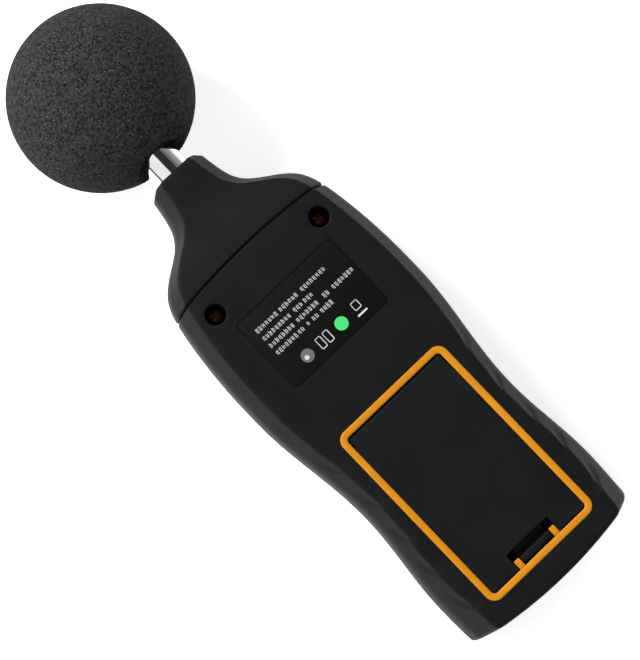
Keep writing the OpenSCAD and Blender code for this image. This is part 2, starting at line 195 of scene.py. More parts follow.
def rounded_outline(w, length, r, steps=8):
    """Points round a rounded rectangle centred on the origin, anticlockwise."""
    points = []
    for corner, (sx, sy) in enumerate([(1, 1), (-1, 1), (-1, -1), (1, -1)]):
        for k in range(steps + 1):
            a = math.pi / 2 * (corner + k / steps)
            points.append((
                sx * (w / 2 - r) + r * math.cos(a), sy * (length / 2 - r) + r * math.sin(a)))
    return np.array(points)


def level_rings(w, length, radius_at, centre, levels, steps=8):
    """Rounded rectangles: levels are (z, inset) pairs, and radius_at(inset) is their corners' radius."""
    rings = []
    for z, inset in levels:
        outline = rounded_outline(w - 2 * inset, length - 2 * inset, radius_at(inset), steps)
        rings.append(np.column_stack([outline + centre, np.full(len(outline), z)]))
    return rings


def slab(name, w, length, r, centre, levels):
    """A rounded plate: levels are (z, inset) pairs from one face to the other."""
    rings = level_rings(w, length, lambda inset: max(0.05, r - inset), centre, levels)
    count = len(rings[0])
    faces = grid_faces(len(rings), count, closed=True)
    faces.append(tuple(range(count))[::-1])
    faces.append(tuple((len(rings) - 1) * count + k for k in range(count)))
    return mesh_object(name, np.vstack(rings), faces)


def straight(z0, z1):
    """(z, inset) levels of a plate with square edges."""
    return [(z0, 0.0), (z1, 0.0)]


def edged(z0, z1, fillet):
    """(z, inset) levels of a plate whose edges have a round fillet."""
    turns = [math.pi / 2 * k / 3 for k in range(4)]
    curve = [(fillet * (1 - math.sin(a)), fillet * (1 - math.cos(a))) for a in turns]
    return [(z0 + dz, inset) for dz, inset in curve[::-1]] + [(z1 - dz, inset) for dz, inset in curve]


def lathe(name, profile, axis="Y", centre=(0.0, 0.0, 0.0), steps=64, sharp_deg=32.0):
    """A closed turned piece: profile is (along, radius) pairs that start and end on the axis,
    or form a ring when the first point comes again at the end."""
    ring = profile[0] == profile[-1]
    pairs = profile[:-1] if ring else profile
    points = []
    for along, radius in pairs:
        for k in range(steps):
            a = 2 * math.pi * k / steps
            u, v = radius * math.cos(a), radius * math.sin(a)
            p = (u, along, v) if axis == "Y" else (u, v, along)
            points.append(np.array(p) + np.array(centre))
    return mesh_object(name, points, grid_faces(len(pairs), steps, closed=True, ring=ring), sharp_deg)


def boolean(obj, cutter, operation="DIFFERENCE"):
    """Cuts or joins another object into obj, and removes that object."""
    modifier = obj.modifiers.new("cut", "BOOLEAN")
    modifier.operation = operation
    modifier.solver = "EXACT"
    modifier.object = cutter
    bake_modifiers(obj)
    bpy.data.objects.remove(cutter)
    return obj


def cut(obj, w, length, r, centre, levels):
    """Cuts a rounded plate out of obj."""
    return boolean(obj, slab("cutter", w, length, r, centre, levels))


def bake_modifiers(obj):
    """Turns what the modifiers make into the object's plain mesh."""
    graph = bpy.context.evaluated_depsgraph_get()
    graph.update()
    made = bpy.data.meshes.new_from_object(obj.evaluated_get(graph))
    obj.modifiers.clear()
    obj.data = made
    return obj


def join(name, parts):
    """One object from several."""
    bm = bmesh.new()
    for part in parts:
        bm.from_mesh(part.data)
    mesh = bpy.data.meshes.new(name)
    bm.to_mesh(mesh)
    bm.free()
    for part in parts:
        bpy.data.objects.remove(part)
    return add_object(name, mesh)


def finish_piece(obj, body, finish, slot, *nodes):
    """Gives a piece its material and its body, and hides the CAD nodes that it stands for; slot is not used.
    """
    if finish:
        obj.data.materials.clear()
        obj.data.materials.append(material(finish))
    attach(obj, body)
    if nodes:
        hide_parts(*nodes)


# ---------------------------------------------------------------- pieces that repeat


def block(tree):
    """A pattern: a block one unit long each way."""
    return tree.nodes.new("GeometryNodeMeshCube").outputs["Mesh"]


def peg(tree):
    """A pattern: a round peg along Y, one unit across and long."""
    made = tree.nodes.new("GeometryNodeMeshCylinder")
    made.inputs["Vertices"].default_value = 12
    made.inputs["Radius"].default_value = 0.5
    made.inputs["Depth"].default_value = 1.0
    turn = tree.nodes.new("GeometryNodeTransform")
    turn.inputs["Rotation"].default_value = (math.pi / 2, 0.0, 0.0)
    tree.links.new(made.outputs["Mesh"], turn.inputs["Geometry"])
    return turn.outputs["Geometry"]


def copy_of(obj):
    """A pattern: another object's mesh as it is."""
    def pattern(tree):
        info = tree.nodes.new("GeometryNodeObjectInfo")
        info.inputs["Object"].default_value = obj
        return info.outputs["Geometry"]
    return pattern


def repeat_tree(name, pattern, random_height=None):
    """A Geometry Nodes tree: one copy of a pattern on each point, sized by its input. Each copy's
    height may also vary: random_height is (low, high, seed)."""
    tree = bpy.data.node_groups.new(name, "GeometryNodeTree")
    for socket, kind in (("Points", "Geometry"), ("Pattern size", "Vector"), ("Finish", "Material")):
        tree.interface.new_socket(socket, in_out="INPUT", socket_type="NodeSocket" + kind)
    tree.interface.new_socket("Copies", in_out="OUTPUT", socket_type="NodeSocketGeometry")
    given = tree.nodes.new("NodeGroupInput")
    result = tree.nodes.new("NodeGroupOutput")
    copies = tree.nodes.new("GeometryNodeInstanceOnPoints")
    real = tree.nodes.new("GeometryNodeRealizeInstances")
    finish = tree.nodes.new("GeometryNodeSetMaterial")
    link = tree.links.new
    link(given.outputs["Points"], copies.inputs["Points"])
    link(pattern(tree), copies.inputs["Instance"])
    size = given.outputs["Pattern size"]
    if random_height:
        low, high, seed = random_height
        pick = tree.nodes.new("FunctionNodeRandomValue")
        pick.data_type = "FLOAT_VECTOR"
        pick.inputs[0].default_value = (1.0, low, 1.0)
        pick.inputs[1].default_value = (1.0, high, 1.0)
        pick.inputs["Seed"].default_value = seed
        product = tree.nodes.new("ShaderNodeVectorMath")
        product.operation = "MULTIPLY"
        link(size, product.inputs[0])
        link(pick.outputs[0], product.inputs[1])
        size = product.outputs[0]
    link(size, copies.inputs["Scale"])
    link(copies.outputs["Instances"], real.inputs["Geometry"])
    link(real.outputs["Geometry"], finish.inputs["Geometry"])
    link(given.outputs["Finish"], finish.inputs["Material"])
    link(finish.outputs["Geometry"], result.inputs["Copies"])
    return tree


def repeated(name, points_mm, pattern, size, finish, random_height=None):
    """A plain mesh with one copy of a pattern on each point, made by a tree of its own."""
    mesh = bpy.data.meshes.new(name)
    mesh.from_pydata([tuple(Vector(p) * MM) for p in points_mm], [], [])
    obj = add_object(name, mesh)
    tree = repeat_tree(name + "_tree", pattern, random_height)
    values = {"Pattern size": size, "Finish": material(finish)}
    modifier = obj.modifiers.new("repeat", "NODES")
    modifier.node_group = tree
    for item in tree.interface.items_tree:
        if item.in_out == "INPUT" and item.name in values:
            modifier[item.identifier] = values[item.name]
    bake_modifiers(obj)
    if not obj.data.polygons:
        raise RuntimeError("nothing was made for " + name)
    return obj


# ---------------------------------------------------------------- materials


class Nodes:
    """A short way to write a material's node tree."""

    def __init__(self, name, **values):
        self.material = bpy.data.materials.new(name)
        self.material.use_nodes = True
        self.tree = self.material.node_tree
        self.shader = self.tree.nodes["Principled BSDF"]
        self.coords = self.tree.nodes.new("ShaderNodeTexCoord").outputs["Object"]
        self.fill(self.shader, values)

    def fill(self, node, values):
        """Sets or links a node's inputs, which have _ in their names for a space."""
        for key, value in values.items():
            socket = node.inputs[key.replace("_", " ")]
            if isinstance(value, bpy.types.NodeSocket):
                self.tree.links.new(value, socket)
            else:
                socket.default_value = value

    def node(self, kind, **inputs):
        made = self.tree.nodes.new("ShaderNode" + kind)
        self.fill(made, inputs)
        return made

    def noise(self, scale, detail=2.0, roughness=0.5):
        made = self.node("TexNoise", Vector=self.coords, Scale=scale, Detail=detail, Roughness=roughness)
        return made.outputs["Fac"]

    def ramp(self, fac, color_low, color_high, low=0.3, high=0.7):
        made = self.node("ValToRGB", Fac=fac)
        first, last = made.color_ramp.elements
        first.position, last.position = low, high
        first.color = (*color_low, 1.0)
        last.color = (*color_high, 1.0)
        return made.outputs["Color"]

    def remap(self, value, to_low, to_high, low=0.3, high=0.7):
        made = self.node("MapRange", Value=value, From_Min=low, From_Max=high, To_Min=to_low, To_Max=to_high)
        return made.outputs["Result"]

    def product(self, a, b):
        made = self.node("Math")
        made.operation = "MULTIPLY"
        self.tree.links.new(a, made.inputs[0])
        self.tree.links.new(b, made.inputs[1])
        return made.outputs[0]

    def mottled(self, fac, color, low, high):
        """Lets the colour vary between two shades."""
        self.fill(self.shader, {"Base Color": self.ramp(fac, shade(color, low), shade(color, high))})

    def uneven(self, fac, low, high):
        """Lets the roughness vary between two values."""
        self.fill(self.shader, {"Roughness": self.remap(fac, low, high)})

    def bumped(self, height, strength, distance):
        """Raises the surface by a pattern, and gives the finished material."""
        made = self.node("Bump", Height=height, Strength=strength, Distance=distance)
        self.tree.links.new(made.outputs["Normal"], self.shader.inputs["Normal"])
        return self.material


def shade(color, factor):
    return tuple(min(1.0, c * factor) for c in color)


def moulded_plastic(name, color, tone=1.0, roughness=0.5, grain=2600.0):
    """Moulded plastic with a fine spark-eroded grain and a slight mottle."""
    n = Nodes(name, Specular_IOR_Level=0.05)
    n.mottled(n.noise(90.0, 3.0), shade(color, tone), 0.88, 1.14)
    grains = n.noise(grain, 2.0, 0.6)
    n.uneven(grains, roughness - 0.06, roughness + 0.08)
    return n.bumped(grains, 0.55, 0.00002)


def gloss_plastic(name, color, roughness, specular=0.3):
    """Smooth moulded plastic with a faint flow mottle."""
    n = Nodes(name, Specular_IOR_Level=specular)
    n.mottled(n.noise(160.0), color, 0.93, 1.06)
    fine = n.noise(900.0)
    n.uneven(fine, roughness, roughness + 0.08)
    return n.bumped(fine, 0.3, 0.00001)


def polished_metal(name, color, roughness, streaks=0.0):
    """Plated or brushed metal; streaks gives the depth of its brushing."""
    n = Nodes(name, Metallic=1.0)
    stretched = n.node("Mapping", Vector=n.coords, Scale=(1.0, 0.02 if streaks else 1.0, 1.0))
    grain = n.node("TexNoise", Vector=stretched.outputs["Vector"], Scale=3000.0 if streaks else 400.0,
                   Detail=2.0).outputs["Fac"]
    n.mottled(grain, color, 0.94, 1.04)
    n.uneven(grain, roughness, roughness + 0.03 + 0.15 * streaks)
    return n.bumped(grain, 0.2 + streaks, 0.000004)


def soft_rubber(name, color):
    """Matt silicone rubber with a dusty sheen."""
    n = Nodes(name, Specular_IOR_Level=0.25, Sheen_Weight=0.15, Sheen_Roughness=0.5)
    fine = n.noise(1800.0, 3.0)
    n.mottled(fine, color, 0.9, 1.12)
    n.uneven(fine, 0.62, 0.78)
    return n.bumped(fine, 0.4, 0.00002)


def open_cell_foam(name, color):
    """Open-cell foam: painted shade darkens the pores between lighter struts, and painted highlights make
    stray bright specks.
    """
    n = Nodes(name, Specular_IOR_Level=0.05, Roughness=0.95)
    pores = n.node("TexVoronoi", Vector=n.coords, Scale=900.0).outputs["Distance"]
    struts = n.noise(1050.0, 4.0, 0.75)
    broad = n.noise(220.0)
    mixed = n.product(n.remap(pores, 0.25, 1.0, 0.1, 0.75), n.remap(struts, 0.35, 1.5, 0.3, 0.72))
    mixed = n.product(mixed, n.remap(broad, 0.88, 1.12))
    # painted shade and light: the colour is darkened in the pores and lightened on the struts
    base = n.ramp(mixed, shade(color, 0.06), shade(color, 2.5), 0.12, 0.8)
    # painted highlights: stray bright glints on the struts
    painted_glints = n.remap(n.noise(2100.0, 1.0), 0.0, 1.0, 0.64, 0.74)
    lit = n.node("MixRGB", Fac=painted_glints, Color1=base, Color2=(*shade(color, 10.0), 1.0))
    n.fill(n.shader, {"Base Color": lit.outputs["Color"]})
    return n.bumped(mixed, 0.9, 0.00025)


def clear_plastic(name, tint):
    """A clear moulded window."""
    n = Nodes(name, Transmission_Weight=0.95, IOR=1.49, Roughness=0.05)
    n.mottled(n.noise(60.0), tint, 0.97, 1.0)
    return n.material


def wrapped_cell(name, color):
    """A battery's shrink sleeve."""
    n = Nodes(name, Roughness=0.3, Specular_IOR_Level=0.5)
    n.mottled(n.noise(300.0), color, 0.9, 1.1)
    return n.bumped(n.noise(120.0), 0.2, 0.00003)


def circuit_laminate(name, color):
    """Solder mask over copper tracks."""
    n = Nodes(name, Roughness=0.35)
    tracks = n.node("TexBrick", Vector=n.coords, Scale=220.0, Mortar_Size=0.03,
                    Color1=(*shade(color, 0.9), 1.0), Color2=(*color, 1.0),
                    Mortar=(*shade(color, 1.7), 1.0))
    n.fill(n.shader, {"Base Color": tracks.outputs["Color"]})
    return n.bumped(tracks.outputs["Fac"], 0.3, 0.00003)


# Each finish: its maker, its colour or the setting that holds it, and the maker's other values
FINISHES = {
    "shell_plastic": (moulded_plastic, "plastic_color"),
    "door_plastic": (moulded_plastic, "plastic_color", 1.08, 0.5, 2300.0),
    "inner_plastic": (moulded_plastic, "plastic_color", 1.3, 0.6, 1200.0),
    "amber_plastic": (gloss_plastic, "amber_color", 0.34),
    "label_film": (gloss_plastic, (0.0035, 0.0036, 0.004), 0.4, 0.12),
    "label_white": (gloss_plastic, (0.56, 0.56, 0.56), 0.5),
    "label_grey": (gloss_plastic, (0.12, 0.12, 0.12), 0.5),
    "label_green": (gloss_plastic, (0.05, 0.62, 0.16), 0.45),
    "chrome": (polished_metal, (0.82, 0.83, 0.84), 0.045),
    "steel": (polished_metal, (0.6, 0.6, 0.61), 0.22, 0.4),
    "bronze_screw": (polished_metal, (0.26, 0.085, 0.07), 0.4, 0.1),
    "tin": (polished_metal, (0.66, 0.66, 0.64), 0.28),
    "foam": (open_cell_foam, "foam_color"),
    "black_rubber": (soft_rubber, (0.012, 0.012, 0.013)),
    "grey_rubber": (soft_rubber, (0.3, 0.3, 0.31)),
    "key_rubber": (soft_rubber, (0.055, 0.056, 0.06)),
    "power_rubber": (soft_rubber, (0.7, 0.2, 0.01)),
    "key_mark": (soft_rubber, (0.6, 0.6, 0.6)),
    "window": (clear_plastic, (0.95, 0.97, 0.97)),
    "window_border": (gloss_plastic, (0.008, 0.008, 0.009), 0.15),
    "display": (gloss_plastic, (0.33, 0.38, 0.3), 0.2),
    "segments": (gloss_plastic, (0.2, 0.23, 0.18), 0.25),
    "diffuser": (gloss_plastic, (0.75, 0.75, 0.7), 0.4),
    "laminate": (circuit_laminate, (0.01, 0.12, 0.045)),
    "cell_sleeve": (wrapped_cell, (0.01, 0.06, 0.035)),
    "lead": (soft_rubber, (0.12, 0.02, 0.02)),
}
MADE = {}


def material(name):
    """The finished material of that name, made once."""
    if name not in MADE:
        maker, color, *values = FINISHES[name]
        if isinstance(color, str):
            color = tuple(getattr(settings(), color))
        MADE[name] = maker(name, color, *values)
    return MADE[name]


# ---------------------------------------------------------------- the housing's shape

# Places along the housing, in millimetres from the tail
TAIL_AT, WAIST_AT, WIDEST_AT, NARROWING_AT = 17.6, 53.2, 98.0, 102.5
SEAM_AT, SHOULDER_AT, CHAMFER_AT = 138.5, 150.0, 168.5
TAIL_ARC_R, SEAM_ARC_R = 150.0, 215.0
NECK_FACE, NECK_FALL = 8.0, 0.3
NECK_BACK, NECK_FRONT = 12.75, 12.25
FALL_AT, FALL_LENGTH, SHOULDER_SOFTNESS = 132.3, 30, 2.9

# How fast the sides draw in at the tail and the shoulder, and open out down the neck
TAIL_CURVE, SHOULDER_CURVE, NECK_SPLAY = 0.0021, 0.0027, 0.14

# The section: the bevel's end and the corners' heights in bevels, the lip at the parting line in
# millimetres, and the column of the crisp edge
BEVEL_END, BACK_CORNER, FRONT_CORNER = -0.98, 1.75, 1.5
LIP, EDGE_COL = 0.28, 29

# Finger scallops: place of each one and where it starts, in millimetres
SCALLOPS = [(69.0, 1.6), (53.2, 1.6), (38.8, 1.6), (26.0, 1.0), (10.6, 0.2)]


def housing_share(t):
    return 1 / (1 + np.exp((t - SHOULDER_AT) / SHOULDER_SOFTNESS))


def body_half(t):
    s = settings()
    tail, waist = s.tail_width / 2 / MM, s.waist_width / 2 / MM
    return np.select(
        [t < TAIL_AT, t < WAIST_AT, t < WIDEST_AT],
        [
            tail - TAIL_CURVE * (TAIL_AT - t) ** 2,
            mix(tail, waist, ease((t - TAIL_AT) / (WAIST_AT - TAIL_AT))),
            mix(waist, BODY_HALF, ease((t - WAIST_AT) / (WIDEST_AT - WAIST_AT))),
        ],
        BODY_HALF - SHOULDER_CURVE * np.maximum(0, t - NARROWING_AT) ** 2,
    )


def chamfer_share(t):
    return np.clip((NECK_TOP_AT - t) / (NECK_TOP_AT - CHAMFER_AT), 0, 1)


def half_w(t):
    neck = settings().neck_width / 2 / MM + NECK_SPLAY * np.maximum(0, CHAMFER_AT - t)
    return mix(NECK_FACE, mix(neck, body_half(t), housing_share(t)), chamfer_share(t))


def face_level(t, back):
    """The height of the back or the front, which close in on the tube along the neck."""
    share = 1 - ease((t - FALL_AT) / FALL_LENGTH)
    fall = NECK_FALL * (1 - chamfer_share(t))
    if back:
        return mix(AXIS_Z + NECK_BACK, BACK_Z, share) - fall
    return mix(AXIS_Z - NECK_FRONT, FRONT_Z, share) + fall


def bevel_at(t):
    b = settings().bevel / MM * (1.45 - 0.45 * ease(t / 40))
    return b * mix(0.5, mix(0.9, 1, housing_share(t)), chamfer_share(t))


def half_profile(lip, corner):
    """Rows of (share of width, x in bevels, share of parting height, z in bevels, lip) from the
    parting line to the middle of a face: a side wall, a soft corner, a bevel and a crisp edge."""
    rows = [(1.0, 0.0, 1.0, 0.0, lip)]
    rows += [(1.0, 0.0, 1.0, 0.0, 0.0)] if lip else []
    knee_in, knee_out = (-0.05, corner + 0.65), (-0.3, corner - 0.37)
    for f in np.linspace(0, 1, 11)[1:]:
        rows.append((1.0, knee_in[0] * f, 1 - f, knee_in[1] * f, 0.0))
    curve = list(bezier(knee_in, (-0.12, corner), knee_out, 5))
    for f in np.linspace(0, 1, 9)[1:]:
        curve.append((mix(knee_out[0], BEVEL_END + 0.06, f), mix(knee_out[1], 0.12, f)))
    curve += list(bezier((BEVEL_END + 0.06, 0.12), (BEVEL_END, 0.0), (BEVEL_END - 0.12, 0.0), 4))
    rows += [(1.0, x, 0.0, z, 0.0) for x, z in curve]
    for f in np.linspace(0, 1, 11)[1:]:
        rows.append((1 - f, (BEVEL_END - 0.12) * (1 - f), 0.0, 0.0, 0.0))
    return np.array(rows)


def arc_shift(t, x):
    """How far a ring's point moves along the meter, so that rings follow the end arcs."""
    to_seam = np.clip(t / SEAM_AT, 0, 1)
    past_seam = np.clip(1 - (t - SEAM_AT) / 18, 0, 1)
    return (1 - to_seam) * x**2 / (2 * TAIL_ARC_R) - to_seam * past_seam * x**2 / (2 * SEAM_ARC_R)


def face_grid(profile, t, inset, back=True):
    """Points of one face of the housing: rows follow t, columns run from its left parting line
    over the face to its right one."""
    a, c, p, q, lip = (profile[:, k][None, :] for k in range(5))
    t = np.asarray(t, float)[:, None]
    inset = np.broadcast_to(np.asarray(inset, float), (len(t),))[:, None]
    local = np.broadcast_to(t, (t.shape[0], len(profile)))
    for _ in range(3):
        b = bevel_at(local)
        x = a * (half_w(local) - inset) + c * b - lip
        local = t + arc_shift(t, x)
    level = face_level(local, back) + (-inset if back else inset)
    z = p * PART_Z + (1 - p) * level + (-q if back else q) * b
    right = np.stack([x, at(local), z], axis=-1)
    left = right.copy()
    left[..., 0] *= -1
    return np.concatenate([left, right[:, ::-1][:, 1:]], axis=1)


def scalloped(points, t):
    """The grid with finger scallops pressed into its bevels and sides."""
    depth_mm = settings().scallop_depth / MM
    count = points.shape[1]
    along = np.diff(points, axis=0, append=points[-1:] * 2 - points[-2:-1])
    across = np.diff(points, axis=1, append=points[:, -1:] * 2 - points[:, -2:-1])
    normal = np.cross(along, across)
    normal /= np.maximum(np.linalg.norm(normal, axis=-1, keepdims=True), 1e-9)
    centre = points.mean(axis=1, keepdims=True)
    outward = np.sign(np.sum(normal * (points - centre), axis=-1, keepdims=True))
    normal *= np.where(outward == 0, 1, outward)
    run = np.linalg.norm(np.diff(points, axis=1), axis=-1)
    run = np.concatenate([np.zeros((len(points), 1)), np.cumsum(run, axis=1)], axis=1)
    left = run[:, EDGE_COL:EDGE_COL + 1] - run
    right = run - run[:, count - 1 - EDGE_COL:count - EDGE_COL]
    down = np.maximum(left, right)
    press = np.zeros(points.shape[:2])
    for k, (place, start) in enumerate(SCALLOPS):
        q = np.asarray(t)[:, None] - place - 0.62 * (down - 4.0)
        shape = np.where(q > 0, 1 - smooth(0.0, 7.5, q), smooth(-0.9, 0.0, q))
        reach = smooth(start, start + 2.0, down) * (1 - smooth(6.4, 9.2, down))
        press = np.maximum(press, shape * reach * (0.65 + 0.12 * k))
    return points - normal * (press * depth_mm)[..., None]


def half_shell(name, back, cutters):
    """The rear cover or the front shell: a hollow moulding, open at the parting line and the seam."""
    wall = settings().wall / MM
    corner = BACK_CORNER if back else FRONT_CORNER
    inner_profile = half_profile(0.0, corner)
    inner_profile = np.vstack([inner_profile[:1], inner_profile])
    tail, tail_r = np.array([0.0, 0.12, 0.4, 0.8, 1.3, 1.9]), 1.6
    tail_inset = tail_r - np.sqrt(np.maximum(0, tail_r**2 - (tail_r - np.minimum(tail, tail_r)) ** 2))
    body = np.arange(2.6, SEAM_AT - 1.1, 0.75)
    t = np.concatenate([tail, body, SEAM_AT - np.array([0.95, 0.7, 0.18])])
    inset = np.concatenate([tail_inset, np.zeros(len(body)), [0.0, 0.0, 0.5]])
    outer = scalloped(face_grid(half_profile(LIP, corner), t, inset, back), t)
    inner = face_grid(inner_profile, wall + t * (t[-1] - wall) / t[-1], wall, back)
    rows, cols = outer.shape[:2]
    gap = PART_Z + (HALF_GAP if back else -HALF_GAP)
    outer[:, (0, cols - 1), 2] = inner[:, (0, cols - 1), 2] = gap
    feet = np.array([outer[0], inner[0]])
    feet[..., 2] = gap
    points = np.vstack([outer.reshape(-1, 3), inner.reshape(-1, 3), *feet])
    size = rows * cols
    faces = grid_faces(rows, cols) + grid_faces(rows, cols, start=size, flip=True)
    foot, inner_foot, last = 2 * size, 2 * size + cols, (rows - 1) * cols
    for k in range(cols - 1):
        for a, b in ((foot, 0), (size, inner_foot), (inner_foot, foot), (last, size + last)):
            faces.append((a + k, a + k + 1, b + k + 1, b + k))
    for i in range(rows - 1):
        for k in (0, cols - 1):
            a, b = i * cols + k, (i + 1) * cols + k
            faces.append((a, b, size + b, size + a))
    shell = boolean(mesh_object(name, points, faces), join("cutters", cutters))
    tidy_mesh(shell, recalc=False)
    return shell


def flared_cutter(box, margin, r, surface_z, depth, flare, outward=1):
    """A rounded cutter round a CAD box that opens out just under the surface, for a soft rim."""
    levels = [(-depth, 0.0), (-flare, 0.0), (0.0, -flare), (1.5, -flare)]
    levels = [(surface_z + outward * z, inset) for z, inset in levels]
    return slab("cutter", box.size[0] + margin, box.size[1] + margin, r, box.mid[:2], levels)


def neck_moulding(name):
    """The neck and shoulder, closed all round, with a bore for the microphone."""
    wall = settings().wall / MM
    back, front = half_profile(0.0, BACK_CORNER), half_profile(0.0, FRONT_CORNER)
    outer_t = np.concatenate([
        [SEAM_AT + 0.18, SEAM_AT + 0.75, SEAM_AT + 1.0], np.arange(SEAM_AT + 1.5, CHAMFER_AT - 0.6, 0.7),
        CHAMFER_AT + np.array([-0.4, -0.1, 0.2, 0.6, 1.1, 1.45, 1.6])])
    inset = np.zeros(len(outer_t))
    inset[0], inset[-1] = 0.5, 0.18

    def rings(t, inset):
        upper = face_grid(back, t, inset, True)
        lower = face_grid(front, t, inset, False)[:, ::-1]
        return np.concatenate([upper, lower[:, 1:-1]], axis=1)

    outer = rings(outer_t, inset)
    angle = np.arctan2(outer[-1, :, 2] - AXIS_Z, outer[-1, :, 0])

    def circle(r, t):
        return np.column_stack([
            r * np.cos(angle), np.full(len(angle), at(t)), AXIS_Z + r * np.sin(angle)])

    fit_r, room_r, step_t = TUBE_R + 0.12, TUBE_R + 1.95, 166.5
    bore = [circle(TUBE_R + 0.35, NECK_TOP_AT - 0.05), circle(fit_r, NECK_TOP_AT - 0.35),
            circle(fit_r, step_t), circle(room_r, step_t), circle(room_r, 157.4)]
    inner = rings(np.array([157.0, 152.0, 147.0, SEAM_AT + 0.18]), wall)
    points = np.vstack([outer.reshape(-1, 3), *bore, inner.reshape(-1, 3)])
    cols = outer.shape[1]
    rows = len(points) // cols
    faces = grid_faces(rows, cols, closed=True)
    for k in range(cols):
        a, b = k, (k + 1) % cols
        faces.append((a, (rows - 1) * cols + a, (rows - 1) * cols + b, b))
    return mesh_object(name, points, faces)


# ---------------------------------------------------------------- operators


class METER_OT_shells(bpy.types.Operator):
    """Makes the rear cover, the front shell and the neck"""

    bl_idname = "meter.shells"
    bl_label = "Housing"

    def execute(self, context):
        self.rear()
        self.front()
        neck = neck_moulding("neck_cap_moulding")
        finish_piece(neck, "housing", "shell_plastic", "shell_black", "neck_cap")
        return {"FINISHED"}

    def rear(self):
        centre, screws = FRAME.mid[:2], Box("upper_case_screws")

        def wells(profile, z):
            """A turned piece at each of the two case screws."""
            x, y = screws.high[0] - 2.75, screws.mid[1]
            return [lathe("well", profile, "Z", (side * x, y, z), steps=48) for side in (-1, 1)]

        cutters = [
            slab("rebate", FRAME.size[0] + 0.3, FRAME.size[1] + 0.3, 3.65, centre,
                 straight(BACK_Z - 0.9, BACK_Z + 1.0)),
            slab("opening", DOOR.size[0] - 2.0, FRAME.size[1] - 4.5, 1.3, centre,
                 straight(BACK_Z - 4.0, BACK_Z + 1.0)),
            flared_cutter(LABEL, 0.5, 1.6, BACK_Z, 0.32, 0.12),
            *wells([(-9.0, 0.0), (-9.0, 3.25), (-0.5, 3.25), (-0.15, 3.36), (0.0, 3.65), (1.0, 3.65),
                    (1.0, 0.0)], BACK_Z),
        ]
        cover = half_shell("rear_cover_moulding", True, cutters)
        finish_piece(cover, "housing", "shell_plastic", "shell_black", "rear_cover")
        walls = wells([(33.2, 1.6), (33.2, 4.7), (45.4, 4.7), (45.4, 3.27), (38.0, 3.27), (38.0, 1.6),
                       (33.2, 1.6)], 0.0)
        finish_piece(join("screw_wells", walls), "housing", "shell_plastic", "shell_black")
        self.bay_ledge(centre)

    def bay_ledge(self, centre):
        """The ledge round the battery bay that the door rests on, and the catch's pocket."""
        z0, z1 = BACK_Z - 3.8, BACK_Z - 1.95
        low, high, hole_w = FRAME.low[1] + 4.2, DOOR.high[1], 36.8
        ledge = slab("ledge", FRAME.size[0] + 2.0, FRAME.size[1] + 2.0, 3.0, centre, straight(z0, z1))
        cut(ledge, hole_w, high - low, 0.8, (0.0, (low + high) / 2), straight(z0 - 1, z1 + 1))
        cut(ledge, 12.8, 4.0, 0.4, (0.0, low - 0.1), straight(z0 - 1, z1 + 1))
        pocket = slab("pocket", 39.4, 10.8, 0.5, (0.0, at(14.0)), straight(37.0, z0 + 0.1))
        cut(pocket, hole_w, 9.5, 0.5, (0.0, at(14.7)), straight(38.5, z0 + 1.0))
        for piece in (ledge, pocket):
            tidy_mesh(piece)
        both = join("battery_bay_ledge", [ledge, pocket])
        finish_piece(both, "housing", "inner_plastic", "shell_black")

    def front(self):
        cutters = [
            flared_cutter(WINDOW, 0.3, 2.0, FRONT_Z, 1.45, 0.2, -1),
            slab("hole", 46.0, 30.0, 1.5, WINDOW.mid[:2], straight(FRONT_Z - 1.0, FRONT_Z + 3.0)),
        ]
        for key in KEYS:
            cutters.append(flared_cutter(Box(key + "_button"), -1.4, 4.2, FRONT_Z, 3.5, 0.25, -1))
        shell = half_shell("front_shell_moulding", False, cutters)
        finish_piece(shell, "housing", "shell_plastic", "shell_black", "front_shell")


class METER_OT_screws(bpy.types.Operator):
    """Makes the four cross-head case screws"""

    bl_idname = "meter.screws"
    bl_label = "Case screws"

    HEAD_R = 2.72

    def execute(self, context):
        for node in ("upper_case_screws", "lower_case_screws"):
            box = Box(node)
            pattern = self.screw(box.size[2])
            x, y, z = box.high[0] - self.HEAD_R - 0.03, box.mid[1], box.low[2]
            piece = repeated(node.replace("screws", "screw_set"), [(-x, y, z), (x, y, z)],
                             copy_of(pattern), Vector((1.0, 1.0, 1.0)), "bronze_screw")
            bpy.data.objects.remove(pattern)
            tidy_mesh(piece, 40.0, recalc=False)
            finish_piece(piece, "housing", None, "screw_bronze", node)
        return {"FINISHED"}

    def screw(self, length):
        """One screw that stands on its point: thread, domed head and cross recess."""
        neck, r, pitch, tip = length - 1.9, self.HEAD_R, 0.7, 1.6
        profile = [(0.0, 0.0), (0.05, 0.3), (tip, 1.0)]
        z = tip
        while z < neck - 1.2:
            profile += [(z + pitch / 2, 1.38), (z + pitch, 1.1)]
            z += pitch
        profile += [(neck, 1.1), (neck, r - 0.1), (neck + 0.12, r), (neck + 0.8, r), (neck + 1.3, r - 0.3),
                    (neck + 1.7, r - 1.0), (length, r - 1.9), (length, 0.0)]
        made = lathe("screw", profile, axis="Z", steps=40, sharp_deg=40.0)
        for w, arm in ((0.75, 3.3), (3.3, 0.75)):
            cut(made, w, arm, 0.1, (0.0, 0.0),
                [(length - 1.3, 0.25), (length - 0.4, 0.0), (length + 1, 0.0)])
        return made


